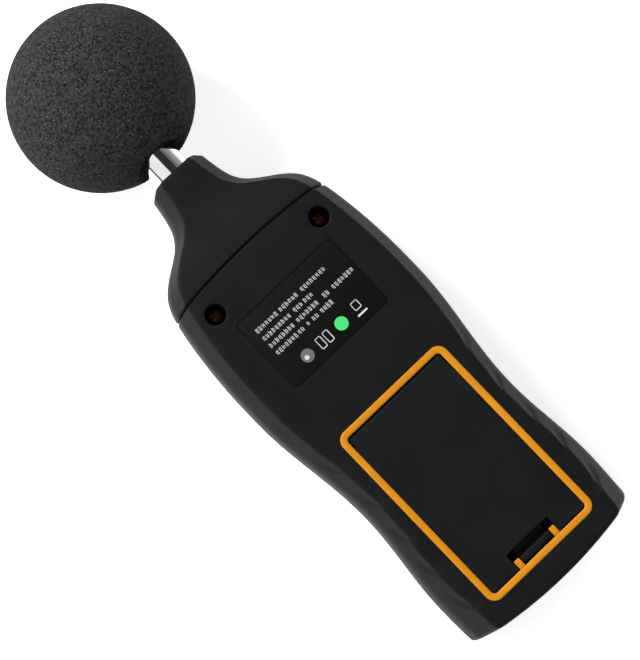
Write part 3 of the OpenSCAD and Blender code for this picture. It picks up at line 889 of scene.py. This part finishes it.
class METER_OT_battery_door(bpy.types.Operator):
    """Makes the amber frame, the battery door and its catch"""

    bl_idname = "meter.battery_door"
    bl_label = "Battery door"

    def execute(self, context):
        self.amber_frame()
        self.door()
        self.catch()
        return {"FINISHED"}

    def amber_frame(self):
        band, top, foot = 2.25, FRAME.high[2], BACK_Z - 0.8
        section = [(foot, 0.0), (top - 0.3, 0.0), (top - 0.12, 0.06), (top - 0.02, 0.22), (top, 0.45),
                   (top - 0.02, band - 0.7), (top - 0.1, band - 0.32), (top - 0.26, band - 0.08),
                   (top - 0.45, band), (foot, band)]
        rings = level_rings(*FRAME.size[:2], lambda inset: 3.5 - 0.978 * inset, FRAME.mid[:2], section, 12)
        faces = grid_faces(len(rings), len(rings[0]), closed=True, ring=True)
        pieces = [mesh_object("band", np.vstack(rings), faces, 50.0)]
        for x in (-7.25, 7.25):
            pieces.append(slab("tab", 2.1, 3.3, 0.35, (x, FRAME.low[1] + band + 1.35),
                               edged(BACK_Z - 1.6, BACK_Z - 0.45, 0.25)))
        amber = join("door_frame_moulding", pieces)
        finish_piece(amber, "housing", "amber_plastic", "amber_trim", "door_frame")

    def door(self):
        """The plate with its round hinge edge, its pins and the catch's notch."""
        hinge_r, past, pin_r = 1.6, 0.74, 0.7
        half = DOOR.size[0] / 2 - 1.3
        low, axis = DOOR.low[1], DOOR.high[1] - hinge_r
        top, under = BACK_Z, BACK_Z - 1.8
        wide, narrow = axis - 1.8 - low, half - 0.4
        plate = slab("plate", 2 * half, wide, 1.1, (0.0, low + wide / 2), edged(under, top, 0.22))
        rim = slab("rim", 2 * narrow, past + 6.0, 0.25, (0.0, axis + past / 2 - 3.0),
                   edged(under, top, 0.2))
        boolean(plate, rim, "UNION")
        for end, r, chamfer, steps in ((narrow - 0.02, hinge_r - 0.02, (0.25, 0.23), 48),
                                       (half + 1.3, pin_r, (0.2, 0.2), 32)):
            back, drop = chamfer
            rod = lathe("rod", [(-end, 0.0), (-end, r - drop), (back - end, r), (end - back, r),
                                (end, r - drop), (end, 0.0)], steps=steps)
            rod.data.transform(Matrix.Rotation(-math.pi / 2, 4, "Z"))
            rod.data.transform(Matrix.Translation(Vector((0, axis, top - hinge_r)) * MM))
            boolean(plate, rod, "UNION")
        cut(plate, 17.1, 11.6, 0.5, (0.0, low),
            [(under - 1, 0.0), (top - 0.2, 0.0), (top, -0.2), (top + 1, -0.2)])
        tidy_mesh(plate)
        pieces = [plate]
        for x in (-5.5, 5.5):
            pieces.append(slab("rib", 1.0, 40.0, 0.4, (x, at(48)), edged(under - 0.9, under + 0.3, 0.2)))
        door = join("battery_door_plate", pieces)
        finish_piece(door, "door", "door_plastic", "shell_black", "battery_door")

    def catch(self):
        """The springy U with the finger tongue."""
        box = Box("battery_latch")
        y0, low, top, half = box.low[1], box.low[2], box.high[2], box.size[0] / 2
        outline = [(0.0, top - 0.25), (0.35, top), (1.7, top), (2.3, top - 0.55), (2.3, top - 1.1),
                   (1.35, top - 1.5), (1.2, low + 2.2)]
        arc = [math.pi * k / 10 for k in range(11)]
        outline += [(2.6 - 1.4 * math.cos(a), low + 2.2 - math.sin(a)) for a in arc]
        outline += [(4.0, top - 2.2), (5.2, top - 2.2)]
        outline += [(2.6 + 2.6 * math.cos(a), low + 2.4 - 2.4 * math.sin(a)) for a in arc]
        outline, count = np.array(outline), len(outline)
        loops = []
        for x, squeeze in ((-half, 0.015), (-half + 0.25, 0.0), (half - 0.25, 0.0), (half, 0.015)):
            loop = mix(outline, outline.mean(axis=0), squeeze)
            loops.append(np.column_stack([np.full(count, x), y0 + loop[:, 0], loop[:, 1]]))
        faces = grid_faces(4, count, closed=True)
        faces.append(tuple(range(count)))
        faces.append(tuple(3 * count + k for k in range(count))[::-1])
        catch = mesh_object("battery_door_catch", np.vstack(loops), faces, 40.0)
        finish_piece(catch, "latch", "door_plastic", "shell_black", "battery_latch")


class METER_OT_label(bpy.types.Operator):
    """Makes the rating label with plain bars in place of words"""

    bl_idname = "meter.label"
    bl_label = "Label"

    # Rows of marks: place from the tail, then the ends of each run across the label
    ROWS = [
        (117.0, [(-16.4, -7.6), (-6.8, 0.6), (2.1, 12.2)]),
        (113.9, [(-16.4, -5.5), (-3.8, -0.5), (0.4, 4.3)]),
        (111.0, [(-16.4, -6.0), (-5.2, 4.0), (5.7, 8.4), (9.5, 17.7)]),
        (108.1, [(-16.4, -8.1), (-7.3, -4.8), (-3.7, -2.2), (-1.4, 1.1), (2.0, 6.9)]),
    ]
    ICON_AT = 101.2
    PITCH = 1.26
    SEED = 11

    def execute(self, context):
        top = LABEL.high[2] - 0.03
        film = slab("rating_label_film", LABEL.size[0], LABEL.size[1], 1.4, LABEL.mid[:2],
                    edged(LABEL.low[2], top, 0.08))
        finish_piece(film, "housing", "label_film", "label_black", "rating_label")
        self.strokes(top)
        self.icons(top)
        return {"FINISHED"}

    def strokes(self, top):
        """Short upright strokes and bars along each row, which stand in for its words."""
        uprights, bars = [], []
        for place, runs in self.ROWS:
            for start, end in runs:
                for k in range(max(1, round((end - start) / self.PITCH))):
                    x = start + self.PITCH * k + 0.2
                    uprights += [(x, at(place), top), (x + 0.5, at(place - 0.1), top)]
                    bars.append((x + 0.25, at(place + (0.45, -0.55, 0.05)[k % 3]), top))
        for name, points, size, low, high in (
            ("label_strokes", uprights, (0.2, 1.0, 0.05), 0.95, 1.75),
            ("label_bars", bars, (0.5, 0.2, 0.05), 0.8, 1.1),
        ):
            piece = repeated(name, points, block, Vector(size) * MM, "label_white", (low, high, self.SEED))
            finish_piece(piece, "housing", None, "label_black")

    def icons(self, top):
        y, levels = at(self.ICON_AT), straight(top - 0.005, top + 0.02)
        for name, w, x, finish in (("label_grey_disc", 4.2, -10.05, "label_grey"),
                                   ("label_green_disc", 4.3, 4.05, "label_green")):
            disc = slab(name, w, w, w / 2 - 0.01, (x, y), levels)
            finish_piece(disc, "housing", finish, "label_black")
        marks = [slab("dot", 1.5, 1.5, 0.74, (-10.6, y - 0.3), straight(top + 0.01, top + 0.028)),
                 slab("bar", 3.8, 0.6, 0.2, (11.0, at(99.2)), levels)]
        line = 0.55
        for x, mid, w, length in ((-4.4, y, 2.1, 4.0), (-1.5, y, 2.1, 4.0), (11.0, at(102.2), 2.6, 2.9)):
            box = slab("box", w, length, 0.5, (x, mid), levels)
            marks.append(cut(box, w - line, length - line, 0.25, (x, mid), straight(top - 1, top + 1)))
        finish_piece(join("label_marks", marks), "housing", "label_white", "label_black")


class METER_OT_microphone(bpy.types.Operator):
    """Makes the chromed tube and the microphone's grille"""

    bl_idname = "meter.microphone"
    bl_label = "Microphone"

    def execute(self, context):
        (y0, y1), r, inner = (TUBE.low[1], TUBE.high[1]), TUBE_R, TUBE_R - 0.6
        groove = y1 - 8.0
        tube = lathe("microphone_tube", [
            (y0, inner), (y0, r - 0.15), (y0 + 0.15, r), (y0 + 0.4, r), (groove - 0.4, r), (groove - 0.2, r),
            (groove, r - 0.12), (groove + 0.2, r), (groove + 0.4, r), (y1 - 0.4, r), (y1 - 0.2, r),
            (y1, r - 0.15), (y1, inner), (y0, inner)],
            centre=(0, 0, AXIS_Z), steps=128, sharp_deg=40.0)
        finish_piece(tube, "housing", "chrome", "chrome_tube", "mic_tube")
        self.grille()
        return {"FINISHED"}

    def grille(self):
        box = Box("mic_grille")
        y0, y1, r = box.low[1], box.high[1], TUBE_R - 0.02
        cap = lathe("microphone_grille", [
            (y0, r - 0.7), (y0, r), (y1 - 0.5, r), (y1 - 0.15, r - 0.15), (y1, r - 0.5), (y1, 0.0),
            (y1 - 0.6, 0.0), (y1 - 0.6, r - 0.7), (y0, r - 0.7)],
            centre=(0, 0, AXIS_Z), steps=96, sharp_deg=40.0)
        holes = []
        for row, count in ((2.0, 8), (4.2, 16)):
            turns = [2 * math.pi * k / count for k in range(count)]
            points = [(row * math.cos(a), y1 - 0.3, AXIS_Z + row * math.sin(a)) for a in turns]
            holes.append(repeated("grille_holes", points, peg, Vector((0.84, 2.6, 0.84)) * MM, "steel"))
        boolean(cap, join("holes", holes))
        tidy_mesh(cap, 40.0, recalc=False)
        finish_piece(cap, "housing", "steel", "grille_steel", "mic_grille")


class METER_OT_windscreen(bpy.types.Operator):
    """Makes the foam ball, its bore and the dimple at its mouth"""

    bl_idname = "meter.windscreen"
    bl_label = "Windscreen"

    RINGS, SIDES = 262, 340
    MOUTH_R, BORE_DEPTH = 9.0, 2.0

    def execute(self, context):
        centre, count = np.array([0.0, at(BALL_AT), AXIS_Z]), self.SIDES
        radius, bore_r = BALL_R - 0.05, TUBE_R + 0.06
        start = math.asin(self.MOUTH_R / radius)
        mouth = -radius * math.cos(start)
        theta = start + (math.pi - start) * np.linspace(0, 1, self.RINGS)
        phi = np.linspace(0, 2 * math.pi, count, endpoint=False)
        bore = [(8.75, mouth + 0.3), (8.1, mouth + 1.3), (7.3, mouth + 2.8), (6.8, mouth + 4.2),
                (bore_r, mouth + 5.2)]
        bore += [(bore_r, y) for y in np.linspace(-radius + 8, self.BORE_DEPTH, 26)]
        rows = bore[::-1] + [(radius * np.sin(th), -radius * np.cos(th)) for th in theta[:-1]]
        rings = np.stack([
            np.column_stack([r * np.sin(phi), np.full(count, y), r * np.cos(phi)]) for r, y in rows])
        rings = self.dimpled(rings + centre, centre, radius)
        points = self.roughened(rings.reshape(-1, 3), centre, radius)
        faces = grid_faces(len(rings), count, closed=True)
        top, bottom, last = len(points), len(points) + 1, (len(rings) - 1) * count
        points = np.vstack([points, centre + [0, radius, 0], centre + [0, self.BORE_DEPTH, 0]])
        faces += [(last + k, last + (k + 1) % count, top) for k in range(count)]
        faces += [((k + 1) % count, k, bottom) for k in range(count)]
        ball = mesh_object("foam_windscreen", points, faces, 180.0, 0.0005)
        finish_piece(ball, "foam_ball", "foam", "foam", "windscreen")
        return {"FINISHED"}

    def dimpled(self, rings, centre, radius):
        """Presses the foam in above the tube, where fingers push it on."""
        local = rings - centre
        x, y, z = local[..., 0], local[..., 1], local[..., 2]
        near = np.exp(-np.abs(x / 9.5) ** 3 - ((z - 8.5) / 8.0) ** 4) * (y < 0)
        rings[..., 1] += 3.7 * near * smooth(-radius + 14, -radius + 5, y)
        return rings

    def roughened(self, points, centre, radius):
        """Small pits and bumps all over the outside."""
        away = points - centre
        length = np.linalg.norm(away, axis=1)
        for i, p in enumerate(points):
            if length[i] < radius - 6 or math.hypot(away[i][0], away[i][2]) < TUBE_R + 0.2:
                continue
            grain = noise.noise(Vector(p) * 1.5) * 0.14 + noise.noise(Vector(p) * 0.3) * 0.07
            points[i] = p + away[i] / length[i] * min(0.03, grain)
        return points


class METER_OT_display(bpy.types.Operator):
    """Makes the display's window, border and number segments"""

    bl_idname = "meter.display"
    bl_label = "Display"

    def execute(self, context):
        z, centre = WINDOW.high[2], WINDOW.mid[:2]
        window = slab("display_window", WINDOW.size[0], WINDOW.size[1], 1.9, centre,
                      edged(WINDOW.low[2], z, 0.12))
        finish_piece(window, "housing", "window", "clear_window", "lcd_window")
        border = slab("display_border", 47.6, 31.6, 1.6, centre, straight(z + 0.02, z + 0.12))
        cut(border, 40.0, 24.0, 1.0, centre, straight(z - 1, z + 1))
        finish_piece(border, "housing", "window_border", "label_black")
        panel = slab("display_panel", LCD.size[0], LCD.size[1], 0.5, LCD.mid[:2],
                     edged(LCD.low[2], LCD.high[2], 0.1))
        finish_piece(panel, "housing", "display", "lcd_glass", "lcd_panel")
        self.segments(*centre)
        return {"FINISHED"}

    def segments(self, x, y):
        """Three unlit seven-segment figures and a decimal point, seen from the front."""
        levels = straight(LCD.low[2] - 0.05, LCD.low[2] + 0.01)
        parts = []
        for mid in (x - 12.0, x, x + 12.0):
            parts += [slab("bar", 6.2, 1.3, 0.6, (mid, y + dy), levels) for dy in (-7.5, 0.0, 7.5)]
            parts += [slab("bar", 1.3, 6.0, 0.6, (mid + dx, y + dy), levels)
                      for dx in (-3.6, 3.6) for dy in (-3.75, 3.75)]
        parts.append(slab("point", 1.5, 1.5, 0.7, (x - 6.0, y - 7.8), levels))
        finish_piece(join("display_segments", parts), "housing", "segments", "lcd_glass")


class METER_OT_keypad(bpy.types.Operator):
    """Makes the six keys, each with a plain raised mark"""

    bl_idname = "meter.keypad"
    bl_label = "Keys"

    # Plain bars on the keys: place, width and height of each, from the key's middle
    MARKS = {
        "hold": [(-0.8, 0.0, 0.8, 2.6), (0.8, 0.0, 0.8, 2.6)],
        "range": [(0.0, 1.0, 2.8, 0.7), (0.0, -1.0, 2.8, 0.7)],
        "weighting": [(-1.4, 0.0, 1.2, 1.2), (1.4, 0.0, 1.2, 1.2)],
        "speed": [(-1.6, 0.0, 0.6, 2.4), (0.0, 0.0, 0.6, 1.6), (1.6, 0.0, 0.6, 0.9)],
        "light": [(0.0, 0.0, 1.8, 1.8)],
    }

    def execute(self, context):
        for key in KEYS:
            box = Box(key + "_button")
            mid, z, body = box.mid[:2], box.low[2], key + "_key"
            w, length = box.size[:2] - 2
            cap = slab("cap", w, length, length / 2 - 0.1, mid,
                       [(z, 1.3), (z + 0.1, 0.55), (z + 0.35, 0.18), (z + 0.7, 0.0), (z + 3.5, 0.0)])
            flange = slab("flange", w + 2, length + 2, 2.0, mid, edged(z + 3.4, z + 4.2, 0.15))
            rubber, slot = "power_rubber", "button_orange"
            if key in self.MARKS:
                rubber, slot = "key_rubber", "button_grey"
            finish_piece(join(body + "_cap", [cap, flange]), body, rubber, slot, key + "_button")
            mark = join(body + "_mark", self.mark(key, mid, straight(z - 0.03, z + 0.05)))
            finish_piece(mark, body, "key_mark", slot)
        return {"FINISHED"}

    def mark(self, key, mid, levels):
        """Bars or dots, and a ring on the power key, which has none."""
        if key in self.MARKS:
            return [slab("mark", w, h, 0.25, (mid[0] + dx, mid[1] + dy), levels)
                    for dx, dy, w, h in self.MARKS[key]]
        ring = slab("ring", 3.4, 3.4, 1.65, mid, levels)
        return [cut(ring, 2.2, 2.2, 1.05, mid, straight(levels[0][0] - 1, levels[1][0] + 1))]


class METER_OT_carried(bpy.types.Operator):
    """Gives the CAD pieces inside the housing their materials"""

    bl_idname = "meter.carried"
    bl_label = "Inner pieces"

    INNER = {
        "mic_capsule": "steel",
        "mic_grommet": "black_rubber",
        "mic_lead": "black_rubber",
        "lcd_backlight": "diffuser",
        "lcd_connectors": "grey_rubber",
        "keypad_mat": "grey_rubber",
        "main_board": "laminate",
        "board_screws": "steel",
        "board_chips": "inner_plastic",
        "preamp_shield": "tin",
        "battery_tray": "inner_plastic",
        "battery_cell_1": "cell_sleeve",
        "battery_cell_2": "cell_sleeve",
        "battery_cell_3": "cell_sleeve",
        "contact_springs": "tin",
        "contact_plates": "tin",
        "battery_leads": "lead",
    }

    def execute(self, context):
        for node, finish in self.INNER.items():
            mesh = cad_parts[node].data
            mesh.materials.clear()
            mesh.materials.append(material(finish))
        return {"FINISHED"}


class METER_OT_stage(bpy.types.Operator):
    """Makes the pale floor, the studio light and the camera"""

    bl_idname = "meter.stage"
    bl_label = "Studio"

    # The view: turn of the picture, lean across and along the meter, and distance
    TURN_DEG = 43.75
    LEAN_ACROSS_DEG = -5.0
    LEAN_ALONG_DEG = -2.5
    DISTANCE = 0.95
    PICTURE_HEIGHT = 0.20238
    AIM = (-0.00056, -0.0113, 0.029)

    # The room round the meter: angle from straight up towards its right, and how light it is there
    ROOM = [(-180, 1.0), (-89, 1.0), (-86, 0.04), (-80, 0.04), (-74, 1.0), (-12, 1.0), (-7, 0.03),
            (31, 0.03), (37, 0.12), (75, 0.4), (92, 1.0), (180, 1.0)]
    KEY_POWER = 19.0
    RIM_POWER = 4.0

    def execute(self, context):
        self.floor()
        self.lights()
        self.camera()
        return {"FINISHED"}

    def floor(self):
        """The floor slopes a little: the meter lies on its foam ball and the edge of its tail."""
        ball_y, foot_y, half = at(BALL_AT) * MM, at(2) * MM, 3.0
        turn = Matrix.Rotation(-math.atan2(FRONT_Z * MM, ball_y - foot_y), 4, "X")
        foot = Vector((0, ball_y, AXIS_Z * MM)) - turn @ Vector((0, 0, BALL_R * MM))
        corners = [Vector((x * half, y * half, 0)) for x, y in ((-1, -1), (1, -1), (1, 1), (-1, 1))]
        mesh = bpy.data.meshes.new("floor")
        mesh.from_pydata([turn @ c + foot for c in corners], [], [(0, 1, 2, 3)])
        n = Nodes("pale_floor", Roughness=0.9, Specular_IOR_Level=0.1, Emission_Strength=0.64,
                  Emission_Color=(1.0, 1.0, 1.0, 1.0))
        n.fill(n.shader, {"Base Color": n.ramp(n.noise(3.0), (0.86, 0.86, 0.86), (0.88, 0.88, 0.88))})
        mesh.materials.append(n.material)
        add_object("floor", mesh)

    def lights(self):
        """A room that is dark in places, so that the chrome shows what it is, and two lamps."""
        world = bpy.data.worlds.new("studio")
        bpy.context.scene.world = world
        world.use_nodes = True
        tree = world.node_tree
        coords, split, turn, share, ramp = (
            tree.nodes.new("ShaderNode" + kind)
            for kind in ("TexCoord", "SeparateXYZ", "Math", "MapRange", "ValToRGB"))
        turn.operation = "ARCTAN2"
        share.inputs["From Min"].default_value = -math.pi
        share.inputs["From Max"].default_value = math.pi
        for source, target in (
            (coords.outputs["Generated"], split.inputs[0]), (split.outputs["X"], turn.inputs[0]),
            (split.outputs["Z"], turn.inputs[1]), (turn.outputs[0], share.inputs["Value"]),
            (share.outputs["Result"], ramp.inputs[0]),
            (ramp.outputs["Color"], tree.nodes["Background"].inputs["Color"]),
        ):
            tree.links.new(source, target)
        while len(ramp.color_ramp.elements) < len(self.ROOM):
            ramp.color_ramp.elements.new(0.5)
        for stop, (angle, level) in zip(ramp.color_ramp.elements, self.ROOM):
            stop.position = 0.5 + angle / 360
            stop.color = (level, level, level, 1.0)
        self.area("key", (-0.4, 0.9, 0.8), 0.5, self.KEY_POWER)
        rim = self.area("rim", (0.9, 0.1, 0.9), 0.6, self.RIM_POWER)
        rim.visible_glossy = False
        bpy.context.scene.view_settings.view_transform = "Standard"

    def area(self, name, place, size, power):
        light = bpy.data.lights.new(name, "AREA")
        light.shape = "SQUARE"
        light.size = size
        light.energy = power
        obj = add_object(name, light)
        obj.location = place
        obj.rotation_euler = (-Vector(place)).to_track_quat("-Z", "Y").to_euler()
        return obj

    def camera(self):
        turn, across, along = (
            math.radians(a) for a in (self.TURN_DEG, self.LEAN_ACROSS_DEG, self.LEAN_ALONG_DEG))
        back = Vector((math.sin(across), math.sin(along), 1.0)).normalized()
        up = Vector((math.sin(turn), math.cos(turn), 0.0))
        up = (up - back * up.dot(back)).normalized()
        axes = Matrix((up.cross(back), up, back)).transposed().to_4x4()
        data = bpy.data.cameras.new("camera")
        data.sensor_width = 36.0
        data.lens = data.sensor_width * self.DISTANCE / self.PICTURE_HEIGHT
        data.clip_start = 0.01
        camera = add_object("camera", data)
        camera.matrix_world = Matrix.Translation(Vector(self.AIM) + back * self.DISTANCE) @ axes
        bpy.context.scene.camera = camera


class METER_PT_panel(bpy.types.Panel):
    """Lists the meter's pieces"""

    bl_idname = "METER_PT_panel"
    bl_label = "Sound meter"
    bl_space_type = "VIEW_3D"
    bl_region_type = "UI"
    bl_category = "Sound meter"

    def draw(self, context):
        for name in MeterSettings.__annotations__:
            self.layout.prop(context.scene.meter_settings, name)
        for operator in OPERATORS:
            self.layout.operator(operator.bl_idname)


OPERATORS = (
    METER_OT_stage,
    METER_OT_shells,
    METER_OT_screws,
    METER_OT_battery_door,
    METER_OT_label,
    METER_OT_microphone,
    METER_OT_windscreen,
    METER_OT_display,
    METER_OT_keypad,
    METER_OT_carried,
)
CLASSES = (MeterSettings, *OPERATORS, METER_PT_panel)


def register():
    for cls in CLASSES:
        bpy.utils.register_class(cls)
    bpy.types.Scene.meter_settings = bpy.props.PointerProperty(type=MeterSettings)


def unregister():
    del bpy.types.Scene.meter_settings
    for cls in reversed(CLASSES):
        bpy.utils.unregister_class(cls)


def main():
    register()
    bpy.ops.meter.stage()
    bpy.ops.meter.shells()
    bpy.ops.meter.screws()
    bpy.ops.meter.battery_door()
    bpy.ops.meter.label()
    bpy.ops.meter.microphone()
    bpy.ops.meter.windscreen()
    bpy.ops.meter.display()
    bpy.ops.meter.keypad()
    bpy.ops.meter.carried()


if __name__ == "__main__":
    main()
